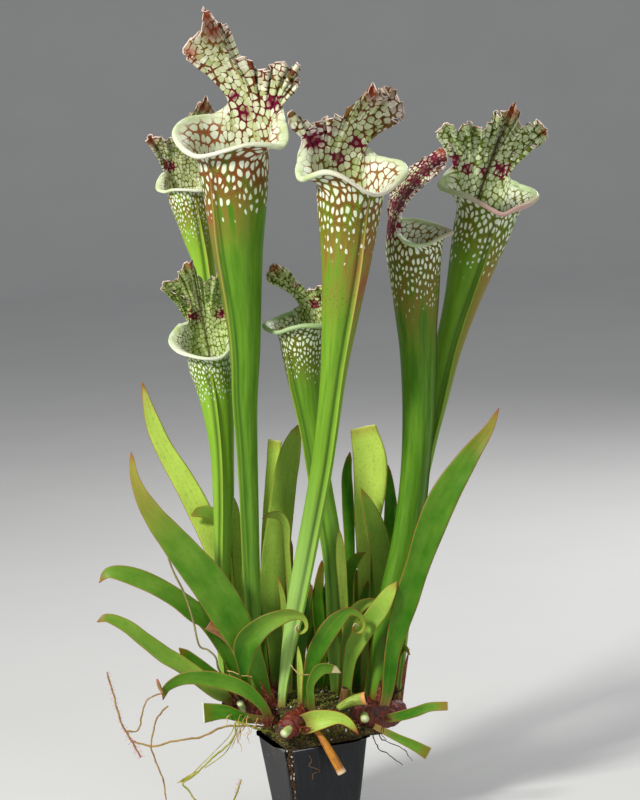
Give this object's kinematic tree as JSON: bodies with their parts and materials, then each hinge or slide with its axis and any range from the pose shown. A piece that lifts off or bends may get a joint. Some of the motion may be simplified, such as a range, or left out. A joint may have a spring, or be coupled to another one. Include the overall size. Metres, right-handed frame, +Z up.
{
  "type": "potted pitcher plant",
  "caption": "Potted pitcher plant with tall flared tubes, ruffled lids and flat sword leaves rising from a mossy crown in a square nursery pot with a split corner.",
  "frame": {"origin": "centre of the pot's underside", "axes": "+Z up along the pot's axis, +X right as the picture sees it, +Y away from the viewer"},
  "size_m": [0.4725, 0.211, 0.8119],
  "materials": {
    "pot_plastic": "dusty thin moulded plastic",
    "potting_mix": "brown fibrous mix with pale grains",
    "moss": "soft low moss",
    "rhizome": "rough dark red-brown",
    "pitcher": "satin leaf skin, pale spots and dark veins near the mouth",
    "leaf": "satin leaf skin",
    "shoot": "satin young leaf",
    "cut_stem": "fresh cut stem",
    "dried_stem": "dry and papery",
    "small_stem": "thin stems with small glands"
  },
  "bodies": {
    "root": {"leaf_arch_left": "leaf", "leaf_arched_middle": "leaf", "leaf_arching_light": "leaf", "leaf_band_left": "leaf", "leaf_big_left": "leaf", "leaf_big_right": "leaf", "leaf_bright_right": "leaf", "leaf_curled_left": "leaf", "leaf_curled_right": "leaf", "leaf_curly_front": "leaf", "leaf_curly_middle": "leaf", "leaf_cut_left": "leaf", "leaf_cut_low_right": "leaf", "leaf_cut_right": "leaf", "leaf_cut_tall": "leaf", "leaf_dark_back": "leaf", "leaf_dark_far": "leaf", "leaf_dark_left": "leaf", "leaf_dark_right": "leaf", "leaf_folded_right": "leaf", "leaf_low_left": "leaf", "leaf_narrow_left": "leaf", "leaf_over_rim": "leaf", "leaf_short_arch": "leaf", "leaf_small_light": "leaf", "leaf_tiny_middle": "leaf", "leaf_upper_left": "leaf", "leaf_upright_middle": "leaf", "leaf_wide_back": "leaf", "moss": "moss", "pitcher_back_left": "pitcher", "pitcher_centre": "pitcher", "pitcher_far_right": "pitcher", "pitcher_low_left": "pitcher", "pitcher_profile": "pitcher", "pitcher_small_centre": "pitcher", "pitcher_tall_left": "pitcher", "pot": "pot_plastic", "potting_mix": "potting_mix", "rhizome_back": "rhizome", "rhizome_front": "rhizome", "rhizome_left": "rhizome", "rhizome_right": "rhizome", "shoot_pale": "shoot", "stalk_dried": "dried_stem", "stub_brown_left": "dried_stem", "stub_hollow_right": "dried_stem", "stub_orange_front": "dried_stem", "stub_small_middle": "dried_stem", "stub_white_front": "cut_stem", "stub_white_left": "cut_stem", "stub_white_right": "cut_stem", "sundew": "small_stem", "weed_stem": "small_stem"}
  },
  "joints": []
}
